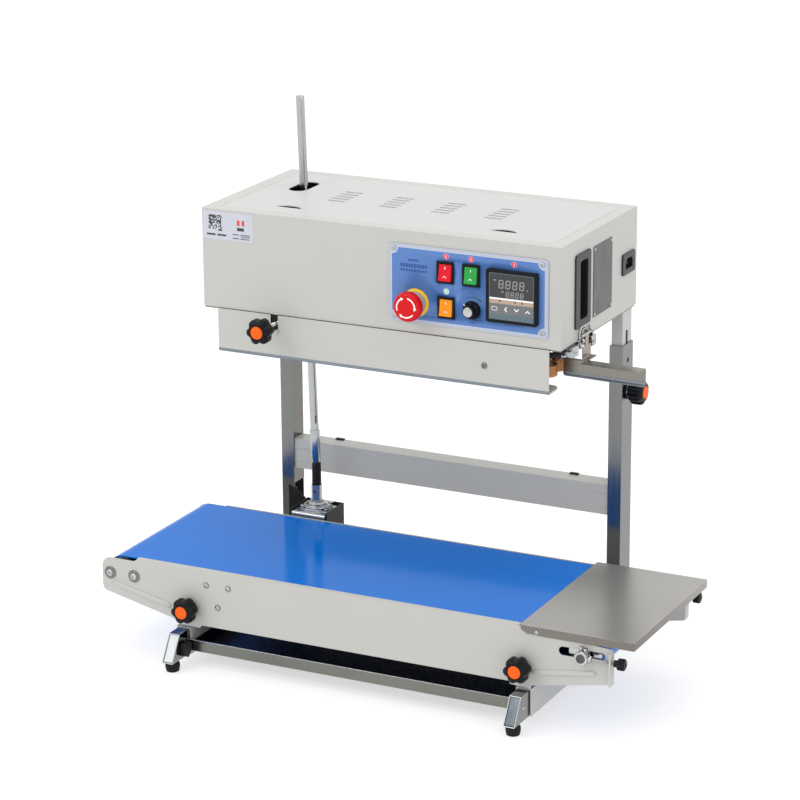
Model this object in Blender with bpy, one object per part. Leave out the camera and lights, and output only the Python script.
"""Continuous band sealer, vertical type: a height-adjustable sealing head over a belt conveyor.

The machine is described in millimetres from the floor (z), from the sealing head's left end (x)
and from the head's front face (y, towards the back). ORIGIN moves it so that the middle of its
footprint is at X = Y = 0 and the floor at Z = 0.
"""
import math

import bmesh
import bpy
from mathutils import Matrix, Vector

MM = 0.001
GAP = 0.3                       # between pieces that touch
SHEET = 1.5                     # sheet metal thickness

# Sealing head
HEAD_W, HEAD_D, HEAD_H = 540.0, 260.0, 140.0
HEAD_TOP = 628.0
HEAD_BOTTOM = HEAD_TOP - HEAD_H
LID_X, LID_Y = (21.7, 521.0), (18.0, 242.0)
PLATE_Z = (HEAD_BOTTOM - 2.0, HEAD_BOTTOM - GAP)      # bottom plate under the housing

# Columns and legs
COLUMN_W = 20.0
COLUMN_Y = (215.0, 252.0)
COLUMN_TOP = 438.0
LEG_BOTTOM = 163.0
COLUMN_KNOB_Z = 370.0
CROSSBAR_Z = (188.0, 232.0)

# Base
TUBE_X = (20.0, 540.0)                                # centres of the two foot tubes
TUBE_W, TUBE_Z = 17.0, (15.0, 52.0)
TUBE_Y = (-152.0, 258.0)
FOOT_Y = (-148.0, 238.0)
TUBE_SLANT = 11.0
RAIL_Y = (-118.0, 250.0)
RAIL_Z = (21.4, 37.7)

# Conveyor
PANEL_Y = (-117.0, 140.0)                              # outer faces of the side panels
BELT_Y = (-111.0, 134.5)
BELT_TOP, BELT_T = 143.0, 2.0
ROLLER_R = 23.7
ROLLER_Z = BELT_TOP - BELT_T - ROLLER_R - GAP
LEFT_ROLLER_X, TAIL_ROLLER_X = -77.0, 627.0
TABLE_X, TABLE_Z = (536.0, 699.0), (143.6, 145.1)
KNOB_X = {"front": (33.0, 539.0), "back": (14.0, 539.0)}
KNOB_Z = 86.0

# Drive line
ROD_X, ROD_Y, ROD_R = 81.0, 171.0, 6.0
ROD_LEAN = 1.73
COUPLING_Z = 202.0
HEAD_ROD_X = 71.0
GUARD_STUD = 23.6
ROD_TOP = 758.0
DRIVE_ROLLER_R, DRIVE_ROLLER_Z = 18.0, 112.0
GEAR_R, GEAR_TEETH = 17.0, 12

# Sealing unit under the head
WHEEL_R, WHEEL_Z = 14.0, (448.0, 463.0)
WHEEL_X = (38.0, 512.0)
FRONT_LOOP_Y, REAR_LOOP_Y = 16.5, 47.0
SEAL_BELT_T = 0.7

# Control panel
PANEL_PLATE = (288.0, 522.0, 502.0, 609.7)             # x and z limits
ROCKERS = {"red": (373.0, 577.2), "green": (410.6, 577.4), "orange": (374.0, 528.9)}
ROCKER_PIVOT_Y = -5.5
ESTOP = (328.5, 530.5)
SPEED_KNOB = (411.8, 530.0)
CONTROLLER = (471.6, 554.8)

ORIGIN = Vector((295.15, 48.5, 0.0))

WHITE = (0.80, 0.79, 0.74)
STEEL = (0.62, 0.62, 0.60)
ZINC = (0.66, 0.67, 0.68)
BLACK = (0.02, 0.02, 0.02)
RUBBER = (0.03, 0.03, 0.03)


def world(point):
    """A machine point in millimetres as a world point in metres."""
    return (Vector(point) - ORIGIN) * MM


def finish(name, mesh_builder, colour, metallic=0.0, roughness=0.5, at=(0.0, 0.0, 0.0), smooth=False):
    """Turn a bmesh in machine millimetres into the object called name, with its origin at `at`."""
    bmesh.ops.translate(mesh_builder, verts=mesh_builder.verts, vec=-Vector(at))
    bmesh.ops.scale(mesh_builder, verts=mesh_builder.verts, vec=(MM, MM, MM))
    bmesh.ops.recalc_face_normals(mesh_builder, faces=mesh_builder.faces)
    mesh = bpy.data.meshes.new(name)
    mesh_builder.to_mesh(mesh)
    mesh_builder.free()
    if smooth:
        mesh.shade_smooth()
        mesh.set_sharp_from_angle(angle=math.radians(35))
    material = bpy.data.materials.new(name)
    material.use_nodes = True
    shader = material.node_tree.nodes["Principled BSDF"]
    shader.inputs["Base Color"].default_value = (*colour, 1.0)
    shader.inputs["Metallic"].default_value = metallic
    shader.inputs["Roughness"].default_value = roughness
    mesh.materials.append(material)
    piece = bpy.data.objects.new(name, mesh)
    piece.location = world(at)
    bpy.context.collection.objects.link(piece)
    return piece


def boolean(piece, tool_builder, operation="DIFFERENCE"):
    """Cut the shapes in tool_builder from the piece, or join them to it."""
    tool = finish(f"cutter_{len(bpy.data.objects)}", tool_builder, BLACK)
    tool.hide_render = True
    tool.display_type = "WIRE"
    modifier = piece.modifiers.new(operation.title(), "BOOLEAN")
    modifier.operation = operation
    modifier.solver = "EXACT"
    modifier.object = tool


def block(shape, x, y, z):
    """A box between the limits x, y and z."""
    size = Vector((x[1] - x[0], y[1] - y[0], z[1] - z[0]))
    middle = Vector((x[0] + x[1], y[0] + y[1], z[0] + z[1])) / 2
    bmesh.ops.create_cube(shape, size=1.0, matrix=Matrix.Translation(middle) @ Matrix.Diagonal((*size, 1.0)))


def prism(shape, outline, axis, limits):
    """An outline extruded along axis; its points are the two other coordinates in XYZ order."""
    def point(pair, depth):
        values = list(pair)
        values.insert("XYZ".index(axis), depth)
        return shape.verts.new(values)
    ends = [[point(pair, depth) for pair in outline] for depth in limits]
    for end in ends:
        shape.faces.new(end)
    for here in range(len(outline)):
        after = (here + 1) % len(outline)
        shape.faces.new((ends[0][here], ends[0][after], ends[1][after], ends[1][here]))


def turned(shape, base, axis, profile, segments=20, hollow=False, lobes=0):
    """A turned solid from (height, radius) or (height, radius, lobe depth) steps along axis.

    A hollow profile closes on itself, so that it makes a ring round its axis.
    """
    turn = {"X": Matrix.Rotation(math.pi / 2, 3, "Y"), "Y": Matrix.Rotation(-math.pi / 2, 3, "X"),
            "Z": Matrix.Identity(3)}[axis]
    rings = []
    for step in profile:
        height, radius = step[0], step[1]
        depth = step[2] if len(step) > 2 else 0.0
        ring = []
        for k in range(segments):
            angle = 2 * math.pi * k / segments
            reach = radius + depth * math.cos(lobes * angle)
            local = Vector((reach * math.cos(angle), reach * math.sin(angle), height))
            ring.append(shape.verts.new(turn @ local + Vector(base)))
        rings.append(ring)
    pairs = list(zip(rings, rings[1:] + rings[:1])) if hollow else list(zip(rings, rings[1:]))
    for low, high in pairs:
        for k in range(segments):
            after = (k + 1) % segments
            shape.faces.new((low[k], low[after], high[after], high[k]))
    if not hollow:
        shape.faces.new(rings[0])
        shape.faces.new(rings[-1])


def arc(centre, radius, start, end, steps):
    """Points on an arc in degrees, both ends included."""
    return [(centre[0] + radius * math.cos(math.radians(start + (end - start) * k / steps)),
             centre[1] + radius * math.sin(math.radians(start + (end - start) * k / steps)))
            for k in range(steps + 1)]


def stadium(left, right, middle, radius, steps=12):
    """The outline of a belt that runs round two equal wheels."""
    return arc((right, middle), radius, -90, 90, steps) + arc((left, middle), radius, 90, 270, steps)


def loop_band(shape, left, right, middle, radius, thickness, axis, limits, steps=12):
    """A closed flat belt round two wheels, as a ring with square edges."""
    outer = stadium(left, right, middle, radius + thickness, steps)
    inner = stadium(left, right, middle, radius, steps)

    def ring(outline, depth):
        verts = []
        for pair in outline:
            values = list(pair)
            values.insert("XYZ".index(axis), depth)
            verts.append(shape.verts.new(values))
        return verts
    rings = [ring(outer, limits[0]), ring(outer, limits[1]), ring(inner, limits[1]), ring(inner, limits[0])]
    for low, high in zip(rings, rings[1:] + rings[:1]):
        for here in range(len(low)):
            after = (here + 1) % len(low)
            shape.faces.new((low[here], low[after], high[after], high[here]))


def star_knob(name, base, axis, sign, stud=10.0):
    """A six-lobed clamping knob; base is where its washer meets the clamped sheet."""
    steps = [(-stud, 3.0), (GAP, 3.0), (GAP, 9.0), (3.0, 9.0), (3.0, 7.5), (6.0, 8.5), (7.0, 14.5, 1.2),
             (10.0, 17.0, 1.6), (22.0, 17.0, 1.6), (26.0, 15.0, 1.4), (27.5, 10.0), (28.5, 8.0)]
    shape = bmesh.new()
    turned(shape, base, axis, [(sign * s[0], *s[1:]) for s in steps], segments=24, lobes=6)
    finish(name, shape, BLACK, roughness=0.45, at=base, smooth=True)


def clear_scene():
    for old in list(bpy.data.objects):
        bpy.data.objects.remove(old, do_unlink=True)


# ------------------------------------------------------------------ base frame

def base_frame():
    """Two foot tubes, their front ends cut on a slant, joined by a front and a back rail."""
    rail_x = (TUBE_X[0] + 4.0, TUBE_X[1] - 4.0)
    low, high = RAIL_Z
    rails, tubes, bores = bmesh.new(), bmesh.new(), bmesh.new()
    for edge, into, depth in ((RAIL_Y[0], 1, 2.5), (RAIL_Y[1], -1, 18.0)):
        skin, deep = edge + into * SHEET, edge + into * depth
        prism(rails, [(edge, low), (deep, low), (deep, low + SHEET), (skin, low + SHEET), (skin, high - SHEET),
                      (deep, high - SHEET), (deep, high), (edge, high)], "X", rail_x)
    half = TUBE_W / 2
    front, back = TUBE_Y
    for x in TUBE_X:
        prism(tubes, [(front - TUBE_SLANT, TUBE_Z[0]), (back, TUBE_Z[0]), (back, TUBE_Z[1]),
                      (front + TUBE_SLANT, TUBE_Z[1])], "X", (x - half, x + half))
        block(bores, (x - half + SHEET, x + half - SHEET), (front - 20, back + 5),
              (TUBE_Z[0] + SHEET, TUBE_Z[1] - SHEET))
    piece = finish("base_frame", rails, STEEL, metallic=1.0, roughness=0.2)
    boolean(piece, tubes, "UNION")
    boolean(piece, bores)

    inner, outer = half + 1.0, half + 1.0 + SHEET
    floor, roof = TUBE_Z[0] - 0.5, TUBE_Z[1] + GAP
    for side, x in zip(("left", "right"), TUBE_X):
        channel = bmesh.new()
        prism(channel, [(x - outer, floor), (x - inner, floor), (x - inner, roof), (x + inner, roof),
                        (x + inner, floor), (x + outer, floor), (x + outer, roof + SHEET),
                        (x - outer, roof + SHEET)], "Y", (RAIL_Y[0] + 3.0, COLUMN_Y[0] - GAP))
        finish(f"cross_channel_{side}", channel, WHITE)
        for place, y in zip(("front", "back"), FOOT_Y):
            foot = bmesh.new()
            turned(foot, (x, y, 0.0), "Z", [(0, 9.0), (2, 10.0), (10, 10.5), (TUBE_Z[0] - GAP, 9.0)], 20)
            finish(f"rubber_foot_{side}_{place}", foot, RUBBER, roughness=0.8, at=(x, y, 0), smooth=True)

    tray, hollow = bmesh.new(), bmesh.new()
    tray_x = (TUBE_X[0] + outer + 0.5, TUBE_X[1] - outer - 0.5)
    tray_y = (RAIL_Y[0] + 3.0, RAIL_Y[1] - 18.5)
    block(tray, tray_x, tray_y, (low, high - 4.0))
    block(hollow, (tray_x[0] + SHEET, tray_x[1] - SHEET), (tray_y[0] + SHEET, tray_y[1] - SHEET),
          (low + SHEET, high + 10.0))
    boolean(finish("base_tray", tray, BLACK, roughness=0.6), hollow)


def column(name, left, outward):
    """A steel C section, open towards the middle of the machine, with its clamp holes."""
    right = left + COLUMN_W
    outer, inner = (left, right) if outward < 0 else (right, left)
    skin = outer - outward * SHEET
    lip = inner + outward * 4.0
    front, back = COLUMN_Y
    profile = [(inner, front), (outer, front), (outer, back), (lip, back), (lip, back - SHEET),
               (skin, back - SHEET), (skin, front + SHEET), (inner, front + SHEET)]
    shape, holes = bmesh.new(), bmesh.new()
    prism(shape, profile, "Z", (TUBE_Z[1] + 2.5, COLUMN_TOP))
    for z in (COLUMN_KNOB_Z, COLUMN_TOP - 24.0):
        turned(holes, (outer - 4.0, 233.5, z), "X", [(0, 3.6), (8, 3.6)], 16)
    boolean(finish(name, shape, STEEL, metallic=1.0, roughness=0.22), holes)


# ------------------------------------------------------------------ conveyor

def conveyor_panel(side, outer, inward):
    """A side panel with an end flange turned outwards at the tail, two lugs and a slot for the tail axle."""
    end = 0.0 if side == "front" else 7.0
    outline = [(-91 + end, 139), (-104 + end, 134), (-108.7 + end, 124), (-108.7 + end, 96), (-100 + end, 88),
               (-1, 66), (14, 60.5), (18, 57), (48, 57), (49.5, 61), (519, 61), (521, 57), (551, 54.4), (552, 60),
               (668, 81), (668, 129), (640, 132.5), (560, 132.5), (560, 142.6), (-54, 142.6), (-57, 139)]
    shape, holes, flange = bmesh.new(), bmesh.new(), bmesh.new()
    limits = sorted((outer, outer + inward * SHEET))
    prism(shape, outline, "Y", limits)
    block(flange, (667, 668 + SHEET), sorted((outer + inward * SHEET, outer - inward * 12.0)), (82, 128))
    across = (limits[0] - 5.0, limits[1] + 5.0)
    prism(holes, stadium(597, 652, ROLLER_Z, 6.0, 6), "Y", across)
    turned(holes, (660, outer - inward * 7.0, ROLLER_Z - 2.0), "X", [(0, 2.6), (20, 2.6)], 16)
    if inward < 0:
        turned(holes, (ROD_X, across[0], DRIVE_ROLLER_Z), "Y", [(0, 9.0), (across[1] - across[0], 9.0)], 20)
    for x in KNOB_X[side]:
        turned(holes, (x, across[0], KNOB_Z), "Y", [(0, 3.6), (across[1] - across[0], 3.6)], 12)
    piece = finish(f"conveyor_{side}_panel", shape, WHITE)
    boolean(piece, flange, "UNION")
    boolean(piece, holes)


def conveyor():
    conveyor_panel("front", PANEL_Y[0], 1)
    conveyor_panel("back", PANEL_Y[1], -1)
    inside = (PANEL_Y[0] + SHEET + GAP, PANEL_Y[1] - SHEET - GAP)

    bed = bmesh.new()
    top = BELT_TOP - BELT_T - GAP
    block(bed, (-50, 598), (BELT_Y[0] + 1, BELT_Y[1] - 1), (top - SHEET, top))
    finish("slider_bed", bed, STEEL, metallic=1.0, roughness=0.35)

    belt = bmesh.new()
    loop_band(belt, LEFT_ROLLER_X, TAIL_ROLLER_X, ROLLER_Z, ROLLER_R + GAP, BELT_T, "Y", BELT_Y)
    finish("conveyor_belt", belt, (0.01, 0.17, 0.62), roughness=0.3, smooth=True)

    for name, x in (("left_roller", LEFT_ROLLER_X), ("tail_roller", TAIL_ROLLER_X)):
        roller = bmesh.new()
        length = inside[1] - inside[0]
        turned(roller, (x, inside[0], ROLLER_Z), "Y",
               [(0, 5), (4, 5), (4, ROLLER_R), (length - 4, ROLLER_R), (length - 4, 5), (length, 5)], 28)
        finish(name, roller, STEEL, metallic=1.0, at=(x, inside[0], ROLLER_Z), smooth=True)

    roller, crown = bmesh.new(), bmesh.new()
    length = inside[1] - inside[0]
    gear_y = ROD_Y - GEAR_R
    turned(roller, (ROD_X, inside[0], DRIVE_ROLLER_Z), "Y",
           [(0, 5), (4, 5), (4, DRIVE_ROLLER_R), (length - 4, DRIVE_ROLLER_R), (length - 4, 5),
            (gear_y - inside[0] - 8, 5)], 24)
    piece = finish("drive_roller", roller, RUBBER, at=(ROD_X, inside[0], DRIVE_ROLLER_Z), smooth=True)
    bevel_gear(crown, (ROD_X, gear_y, DRIVE_ROLLER_Z), "Y", 1, 0.5, 10.0)
    boolean(piece, crown, "UNION")

    table = bmesh.new()
    front, back = PANEL_Y[0] - SHEET - 1.5, PANEL_Y[1] + SHEET + 1.5
    skirt = TABLE_Z[0] - 9.5
    block(table, TABLE_X, (front, back), (skirt, TABLE_Z[1]))
    hollow = bmesh.new()
    block(hollow, (TABLE_X[0] - 5, TABLE_X[1] - SHEET), (front + SHEET, back - SHEET), (skirt - 5, TABLE_Z[0]))
    boolean(finish("table_plate", table, STEEL, metallic=1.0, roughness=0.3), hollow)

    for side, y, sign in (("front", PANEL_Y[0], -1), ("back", PANEL_Y[1], 1)):
        for end, x in zip(("left", "right"), KNOB_X[side]):
            star_knob(f"conveyor_knob_{side}_{end}", (x, y, KNOB_Z), "Y", sign, stud=1.8)
        screw = bmesh.new()
        turned(screw, (638.0, y + sign * 7.0, ROLLER_Z - 2.0), "X",
               [(0, 2), (34, 2), (34, 5), (40, 5), (41, 8), (50, 8), (51, 6)], 20)
        finish(f"thumb_screw_{side}", screw, BLACK, at=(638.0, y + sign * 7.0, ROLLER_Z - 2.0), smooth=True)


# ------------------------------------------------------------------ drive line

def bevel_gear(shape, base, axis, sign, phase, hub):
    """A mitre gear whose cone points along sign * axis; base is its pitch circle's centre."""
    turn = {"Y": Matrix.Rotation(-math.pi / 2, 3, "X"), "Z": Matrix.Identity(3)}[axis]
    rings = []

    def ring(height, root, tip):
        verts = []
        for tooth in range(GEAR_TEETH):
            for offset, reach in ((-0.30, root), (-0.17, tip), (0.17, tip), (0.30, root)):
                angle = 2 * math.pi * (tooth + offset + phase) / GEAR_TEETH
                local = Vector((reach * math.cos(angle), reach * math.sin(angle), sign * height))
                verts.append(shape.verts.new(turn @ local + Vector(base)))
        rings.append(verts)
    ring(-hub, 7.0, 7.0)
    ring(-4.0, 7.0, 7.0)
    ring(-4.0, GEAR_R - 3.0, GEAR_R - 3.0)
    ring(0.0, GEAR_R - 1.7, GEAR_R + 0.8)
    ring(5.5, GEAR_R - 6.8, GEAR_R - 4.9)
    for low, high in zip(rings, rings[1:]):
        for k in range(len(low)):
            after = (k + 1) % len(low)
            shape.faces.new((low[k], low[after], high[after], high[k]))
    shape.faces.new(rings[0])
    shape.faces.new(rings[-1])


def drive_line():
    foot = DRIVE_ROLLER_Z + GEAR_R
    axis_point = (ROD_X, ROD_Y, 0.0)

    shaft, pinion = bmesh.new(), bmesh.new()
    turned(shaft, axis_point, "Z", [(foot + 7, ROD_R), (162, ROD_R), (162, 7.8), (185, 7.8)], 24)
    piece = finish("pinion_shaft", shaft, ZINC, metallic=1.0, at=axis_point, smooth=True)
    bevel_gear(pinion, (ROD_X, ROD_Y, foot), "Z", -1, 0.0, 10.0)
    boolean(piece, pinion, "UNION")

    coupling = bmesh.new()
    turned(coupling, axis_point, "Z", [(185 + GAP, 6.0), (186, 6.7), (218, 6.7), (219, 6.0)], 24)
    finish("shaft_coupling", coupling, RUBBER, roughness=0.7, at=axis_point, smooth=True)
    rod = bmesh.new()
    turned(rod, axis_point, "Z", [(219 + GAP, 6.8), (268, 7.4), (268, ROD_R), (ROD_TOP - 1, ROD_R),
                                  (ROD_TOP, ROD_R - 1)], 24)
    keyway = bmesh.new()
    block(keyway, (ROD_X - 1.5, ROD_X + 1.5), (ROD_Y - ROD_R - 3, ROD_Y - ROD_R + 2), (300, ROD_TOP + 10))
    pivot = Vector((ROD_X, ROD_Y, COUPLING_Z))
    lean = (Matrix.Translation(pivot) @ Matrix.Rotation(-math.radians(ROD_LEAN), 4, "Y")
            @ Matrix.Translation(-pivot))
    for shape in (rod, keyway):
        bmesh.ops.transform(shape, matrix=lean, verts=shape.verts)
    boolean(finish("drive_rod", rod, ZINC, metallic=1.0, roughness=0.3, at=pivot, smooth=True), keyway)

    housing, hollow = bmesh.new(), bmesh.new()
    block(housing, (51, 111), (PANEL_Y[1] + 4, 198), (72, 152))
    block(hollow, (53.5, 108.5), (PANEL_Y[1] - 10, 195.5), (74.5, 170))
    piece = finish("gearbox_housing", housing, BLACK, roughness=0.5)
    boolean(piece, hollow)
    plate, flange = bmesh.new(), bmesh.new()
    prism(plate, [(22, 72), (52, 72), (52, 148), (40, 159), (22, 169)], "Y", (194, 197))
    block(flange, (22, 25), (196, COLUMN_Y[0] - GAP), (72, 160))
    boolean(piece, plate, "UNION")
    boolean(piece, flange, "UNION")
    bearing, lip = bmesh.new(), bmesh.new()
    block(bearing, (54, 108), (PANEL_Y[1] + 2, 195), (146, 149))
    block(lip, (54, 108), (PANEL_Y[1] + 2, PANEL_Y[1] + 3.7), (122, 148))
    piece = finish("flange_bearing", bearing, ZINC, metallic=1.0)
    boolean(piece, lip, "UNION")
    hub, bore = bmesh.new(), bmesh.new()
    turned(hub, (ROD_X, ROD_Y, 0), "Z", [(148, 19), (154, 19), (155, 12), (160, 11)], 24)
    boolean(piece, hub, "UNION")
    turned(bore, (ROD_X, ROD_Y, 140), "Z", [(0, ROD_R + 0.4), (30, ROD_R + 0.4)], 24)
    boolean(piece, bore)


# ------------------------------------------------------------------ sealing head

def head_housing():
    shell, hollow, opening = bmesh.new(), bmesh.new(), bmesh.new()
    block(shell, (0, HEAD_W), (0, HEAD_D), (HEAD_BOTTOM, HEAD_TOP))
    block(hollow, (SHEET, HEAD_W - SHEET), (SHEET, HEAD_D - SHEET), (HEAD_BOTTOM - 5, HEAD_TOP - 3))
    piece = finish("head_housing", shell, WHITE)
    boolean(piece, hollow)
    block(opening, LID_X, LID_Y, (HEAD_TOP - SHEET - GAP, HEAD_TOP + 5))
    boolean(piece, opening)
    through = bmesh.new()
    block(through, (LID_X[0] + 8, LID_X[1] - 8), (LID_Y[0] + 8, LID_Y[1] - 8), (HEAD_TOP - 10, HEAD_TOP + 6))
    block(through, (HEAD_W - 5, HEAD_W + 5), (45, 92), (507, 605))
    block(through, (HEAD_W - 5, HEAD_W + 5), (207, 247), (542, 568))
    front_cutouts(through, (-5, 5))
    boolean(piece, through)


def front_cutouts(shape, depth):
    """Openings that the panel plate and the housing's front wall share."""
    for x, z in ROCKERS.values():
        block(shape, (x - 10, x + 10), depth, (z - 12.3, z + 12.3))
    x, z = CONTROLLER
    block(shape, (x - 33.5, x + 33.5), depth, (z - 33.5, z + 33.5))
    for (x, z), radius in ((ESTOP, 11.2), (SPEED_KNOB, 4.0)):
        turned(shape, (x, depth[0], z), "Y", [(0, radius), (depth[1] - depth[0], radius)], 20)


def lid():
    plate, slots = bmesh.new(), bmesh.new()
    height = (HEAD_TOP - SHEET, HEAD_TOP)
    block(plate, (LID_X[0] + 0.4, LID_X[1] - 0.4), (LID_Y[0] + 0.4, LID_Y[1] - 0.4), height)
    through = (HEAD_TOP - 6, HEAD_TOP + 4)
    prism(slots, [(x, y) for y, x in stadium(151.5, 187.5, HEAD_ROD_X - 1, 12.5, 6)], "Z", through)
    for x in (109.5, 434.0):
        block(slots, (x - 14, x + 14), (54, 64), through)
    for x in (151, 231.5, 311, 391):
        for row in range(5):
            y = 109 + 13.5 * row
            block(slots, (x - 14, x + 14), (y - 1.5, y + 1.5), through)
    boolean(finish("head_lid", plate, WHITE, at=(0, LID_Y[1], HEAD_TOP)), slots)


def head_frame():
    plate, holes = bmesh.new(), bmesh.new()
    block(plate, (1, HEAD_W - 1), (1, HEAD_D - 2), PLATE_Z)
    turned(holes, (HEAD_ROD_X, ROD_Y, PLATE_Z[0] - 5), "Z", [(0, 9.5), (20, 9.5)], 20)
    for x in WHEEL_X:
        for y in (FRONT_LOOP_Y, REAR_LOOP_Y):
            turned(holes, (x, y, PLATE_Z[0] - 5), "Z", [(0, 5), (20, 5)], 12)
    piece = finish("bottom_plate", plate, WHITE)
    boolean(piece, holes)
    hangers = bmesh.new()
    for left, right in ((90, 135), (415, 445)):
        block(hangers, (left, right), (1, 2.2), (464, PLATE_Z[0] + 0.5))
    boolean(piece, hangers, "UNION")

    for side, left, outer in (("left", 2.0, (-3, 7)), ("right", HEAD_W - 18.0, (HEAD_W - 7, HEAD_W + 3))):
        leg, bore, slot = bmesh.new(), bmesh.new(), bmesh.new()
        near, far = COLUMN_Y[0] + 2.3, COLUMN_Y[1] - 2.3
        block(leg, (left, left + 16), (near, far), (LEG_BOTTOM, PLATE_Z[0] - GAP))
        block(bore, (left + SHEET, left + 16 - SHEET), (near + SHEET, far - SHEET), (LEG_BOTTOM - 5, HEAD_TOP))
        block(slot, outer, (229.5, 237.5), (272, 457))
        piece = finish(f"leg_{side}", leg, WHITE)
        boolean(piece, bore)
        boolean(piece, slot)

    bar = bmesh.new()
    low, high = CROSSBAR_Z
    prism(bar, [(217.6, low), (247, low), (247, low + SHEET), (217.6 + SHEET, low + SHEET),
                (217.6 + SHEET, high - SHEET), (247, high - SHEET), (247, high), (217.6, high)], "X",
          (18 + GAP, HEAD_W - 18 - GAP))
    finish("crossbar", bar, WHITE)


def skirt_guard():
    """The plate in front of the sealing belts: it hangs on a knob and can be lowered."""
    shape, slot = bmesh.new(), bmesh.new()
    top, low = HEAD_BOTTOM - 0.5, 426.0
    prism(shape, [(-2.6, top), (-1.1, top), (-1.1, low + SHEET), (24, low + SHEET), (24, low), (-2.6, low)],
          "X", (23, 524))
    piece = finish("skirt_guard", shape, WHITE)
    prism(slot, [(105.8, top + 5), (105.8, 470), *arc((111.6, 470), 5.8, 180, 360, 8), (117.4, top + 5)], "Y",
          (-6, 4))
    boolean(piece, slot)
    star_knob("guard_knob", (111.6, -2.6 - GUARD_STUD, 474.8), "Y", -1, stud=GUARD_STUD + 3.2)


def sealing_unit():
    for side, y in (("front", FRONT_LOOP_Y), ("rear", REAR_LOOP_Y)):
        for end, x in (("left", WHEEL_X[0]), ("right", WHEEL_X[1])):
            wheel = bmesh.new()
            turned(wheel, (x, y, 0), "Z", [(WHEEL_Z[0] + 0.5, 4.5), (WHEEL_Z[0] + 0.5, WHEEL_R),
                                           (WHEEL_Z[1] - 0.5, WHEEL_R), (WHEEL_Z[1] - 0.5, 4.5), (500, 4.5)], 24)
            finish(f"seal_wheel_{side}_{end}", wheel, (0.55, 0.30, 0.12), at=(x, y, 0), smooth=True)
    for side, y in (("front", FRONT_LOOP_Y), ("rear", REAR_LOOP_Y)):
        belt = bmesh.new()
        loop_band(belt, *WHEEL_X, y, WHEEL_R + GAP, SEAL_BELT_T, "Z", WHEEL_Z, 8)
        finish(f"seal_belt_{side}", belt, (0.32, 0.16, 0.07), roughness=0.4, smooth=True)
    heater, jaws = bmesh.new(), bmesh.new()
    block(heater, (140, 300), (18, 45.5), (470, PLATE_Z[0] - GAP))
    for near, far in ((18.0, 30.2), (33.3, 45.5)):
        for left in (145, 225):
            block(jaws, (left, left + 70), (near, far), (449, 471))
    boolean(finish("heater_unit", heater, (0.75, 0.52, 0.22), metallic=1.0), jaws, "UNION")


def head_drive():
    gear = bmesh.new()
    steps = [(PLATE_Z[1] + 3, ROD_R + 3.0), (PLATE_Z[1] + 3, 14), (PLATE_Z[1] + 12, 14),
             (PLATE_Z[1] + 12, 32), (PLATE_Z[1] + 24, 32), (PLATE_Z[1] + 24, ROD_R + 3.0)]
    turned(gear, (HEAD_ROD_X, ROD_Y, 0), "Z", steps, 40, hollow=True)
    finish("sliding_gear", gear, STEEL, metallic=1.0, at=(HEAD_ROD_X, ROD_Y, 0), smooth=True)
    motor = bmesh.new()
    turned(motor, (205, 170, 548), "X", [(0, 20), (8, 38), (110, 38), (118, 30), (140, 30)], 24)
    piece = finish("gear_motor", motor, (0.25, 0.27, 0.29), metallic=0.6, smooth=True)
    reducer = bmesh.new()
    block(reducer, (150, 212), (128, 212), (PLATE_Z[1] + GAP, 590))
    boolean(piece, reducer, "UNION")


# ------------------------------------------------------------------ controls

def control_panel():
    left, right, low, high = PANEL_PLATE
    notch = 9.0
    outline = (arc((left, low), notch, 90, 0, 4) + arc((right, low), notch, 180, 90, 4)
               + arc((right, high), notch, 270, 180, 4) + arc((left, high), notch, 0, -90, 4))
    plate, cutouts = bmesh.new(), bmesh.new()
    prism(plate, outline, "Y", (-1.8, -GAP))
    front_cutouts(cutouts, (-6, 4))
    boolean(finish("control_panel", plate, (0.11, 0.20, 0.50)), cutouts)

    for colour, rgb in (("red", (0.75, 0.02, 0.02)), ("green", (0.05, 0.45, 0.08)), ("orange", (0.9, 0.33, 0.02))):
        x, z = ROCKERS[colour]
        rocker = bmesh.new()
        outline = [(1.0, z - 9.5), (1.0, z + 9.5), (-3.8, z + 11.4), (-5.3, z), (-7.6, z - 11.4)]
        prism(rocker, outline, "X", (x - 9.2, x + 9.2))
        finish(f"rocker_{colour}", rocker, rgb, roughness=0.25, at=(x, ROCKER_PIVOT_Y, z))

    x, z = CONTROLLER
    case, body = bmesh.new(), bmesh.new()
    block(case, (x - 37, x + 37), (-8.5, -1.8 - GAP), (z - 36, z + 36))
    block(body, (x - 33, x + 33), (-4, 78), (z - 33, z + 33))
    boolean(finish("temperature_controller", case, BLACK), body, "UNION")

    x, z = ESTOP
    base, button = bmesh.new(), bmesh.new()
    turned(base, (x, 0, z), "Y", [(-2.1, 8.6), (-2.1, 19.5), (-4.5, 19.5), (-4.5, 15), (-12, 14), (-12, 8.6)],
           32, hollow=True)
    finish("emergency_stop_base", base, (0.9, 0.68, 0.02), smooth=True)
    turned(button, (x, 0, z), "Y", [(9, 8.2), (-17, 8.2), (-17, 15), (-20, 20.5), (-26, 20.5), (-31, 17),
                                    (-33.5, 8)], 32)
    finish("emergency_stop_button", button, (0.72, 0.01, 0.01), at=(x, -12, z), smooth=True)

    x, z = SPEED_KNOB
    knob = bmesh.new()
    turned(knob, (x, 0, z), "Y", [(8, 3), (-2.2, 3), (-2.2, 12.6), (-7, 12), (-8, 9), (-16, 8.5), (-17, 7)], 28)
    finish("speed_knob", knob, BLACK, at=(x, -2.1, z), smooth=True)


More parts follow.
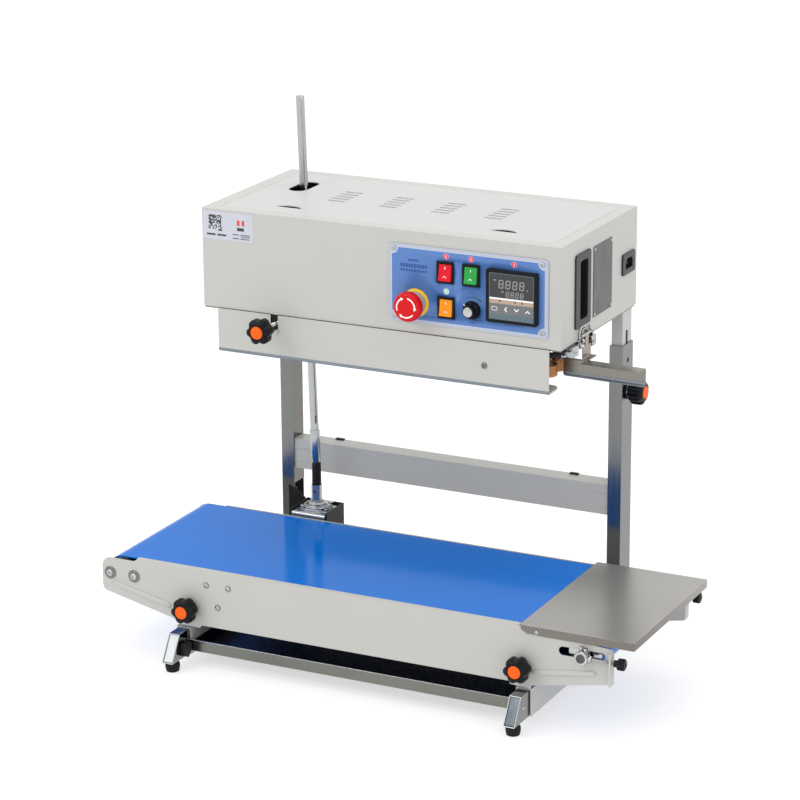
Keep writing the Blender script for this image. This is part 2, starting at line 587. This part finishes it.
def end_face():
    """What sits on the head's right end: a recessed handle, the mains inlet and the infeed latch."""
    end = HEAD_W + GAP
    cup, pocket = bmesh.new(), bmesh.new()
    block(cup, (end - 24, end), (46, 91), (508, 604))
    piece = finish("handle_recess", cup, BLACK)
    rim = bmesh.new()
    block(rim, (end - 0.01, end + 2), (43, 94), (505, 607))
    boolean(piece, rim, "UNION")
    block(pocket, (end - 22, end + 5), (58, 83), (516, 596))
    boolean(piece, pocket)

    inlet, cavity = bmesh.new(), bmesh.new()
    block(inlet, (end, end + 2.5), (205, 249), (540, 570))
    piece = finish("mains_inlet", inlet, BLACK)
    body = bmesh.new()
    block(body, (end - 26, end + 1), (209, 245), (544, 566))
    boolean(piece, body, "UNION")
    block(cavity, (end - 18, end + 5), (213, 241), (547, 563))
    boolean(piece, cavity)

    lever, pin = bmesh.new(), bmesh.new()
    prism(lever, [(end + 4, 460), (end + 14, 460), (end + 14, 461.5), (end + 5.5, 461.5), (end + 5.5, 496),
                  (end + 4, 496)], "Y", (61, 88))
    piece = finish("latch_lever", lever, STEEL, metallic=1.0, at=(end + 5, 74.5, 494))
    turned(pin, (end + 5, 57, 494), "Y", [(0, 1.8), (35, 1.8)], 12)
    boolean(piece, pin, "UNION")


def infeed_guide():
    """A channel, open towards the front, that leads the bag's mouth to the sealing belts."""
    shape = bmesh.new()
    wall, low, high = 1.2, 447.0, 471.0
    profile = [(0, low), (0, high), (-25, high), (-25, high - wall), (-wall, high - wall), (-wall, low + wall),
               (-4, low + wall), (-4, low)]
    prism(shape, profile, "X", (0, 120))
    slope = Matrix.Translation((529, 35.3, 0)) @ Matrix.Rotation(math.radians(-2.8), 4, "Z")
    bmesh.ops.transform(shape, matrix=slope, verts=shape.verts)
    finish("infeed_guide", shape, STEEL, metallic=1.0, roughness=0.25)


def build():
    clear_scene()
    base_frame()
    column("column_left", 0.0, -1)
    column("column_right", HEAD_W - COLUMN_W, 1)
    for name, x, sign in (("column_knob_left", 0.0, -1), ("column_knob_right", HEAD_W, 1)):
        star_knob(name, (x, 233.5, COLUMN_KNOB_Z), "X", sign, stud=8.0)
    conveyor()
    drive_line()
    head_housing()
    lid()
    head_frame()
    skirt_guard()
    sealing_unit()
    head_drive()
    control_panel()
    end_face()
    infeed_guide()


build()
